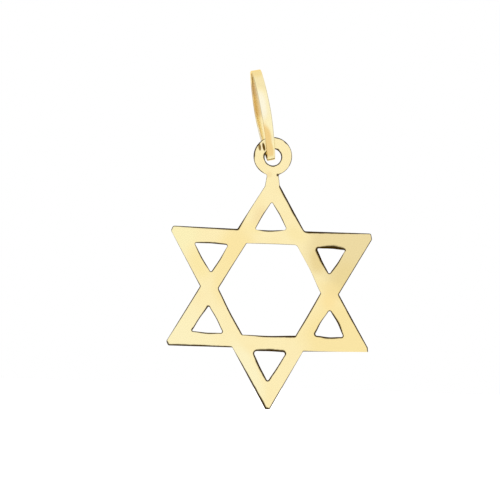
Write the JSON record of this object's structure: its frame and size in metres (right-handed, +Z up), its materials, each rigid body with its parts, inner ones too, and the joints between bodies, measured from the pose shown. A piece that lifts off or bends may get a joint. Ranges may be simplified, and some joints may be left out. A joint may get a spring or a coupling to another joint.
{
  "type": "star of david pendant",
  "caption": "Flat pierced six-pointed star with an eye at its top point, swinging from a slim oval bail of flat gold band, ready to slide on a neck chain.",
  "frame": {"origin": "chain's seat at the middle of the bail's top, on the inner face of its band", "axes": "+Z up, -Y is the side the star faces, +X is to the right as seen from the front"},
  "size_m": [0.0151, 0.003, 0.0255],
  "materials": {
    "gold": "polished"
  },
  "bodies": {
    "bail": {"bail": "gold"},
    "star": {"star_plate": "gold"}
  },
  "joints": [
    {"name": "star_swing", "type": "hinge", "parent": "bail", "child": "star", "pos_m": [0.0015, 0, -0.00628], "axis": [0, 1, 0], "range_deg": [-150, 124]}
  ]
}
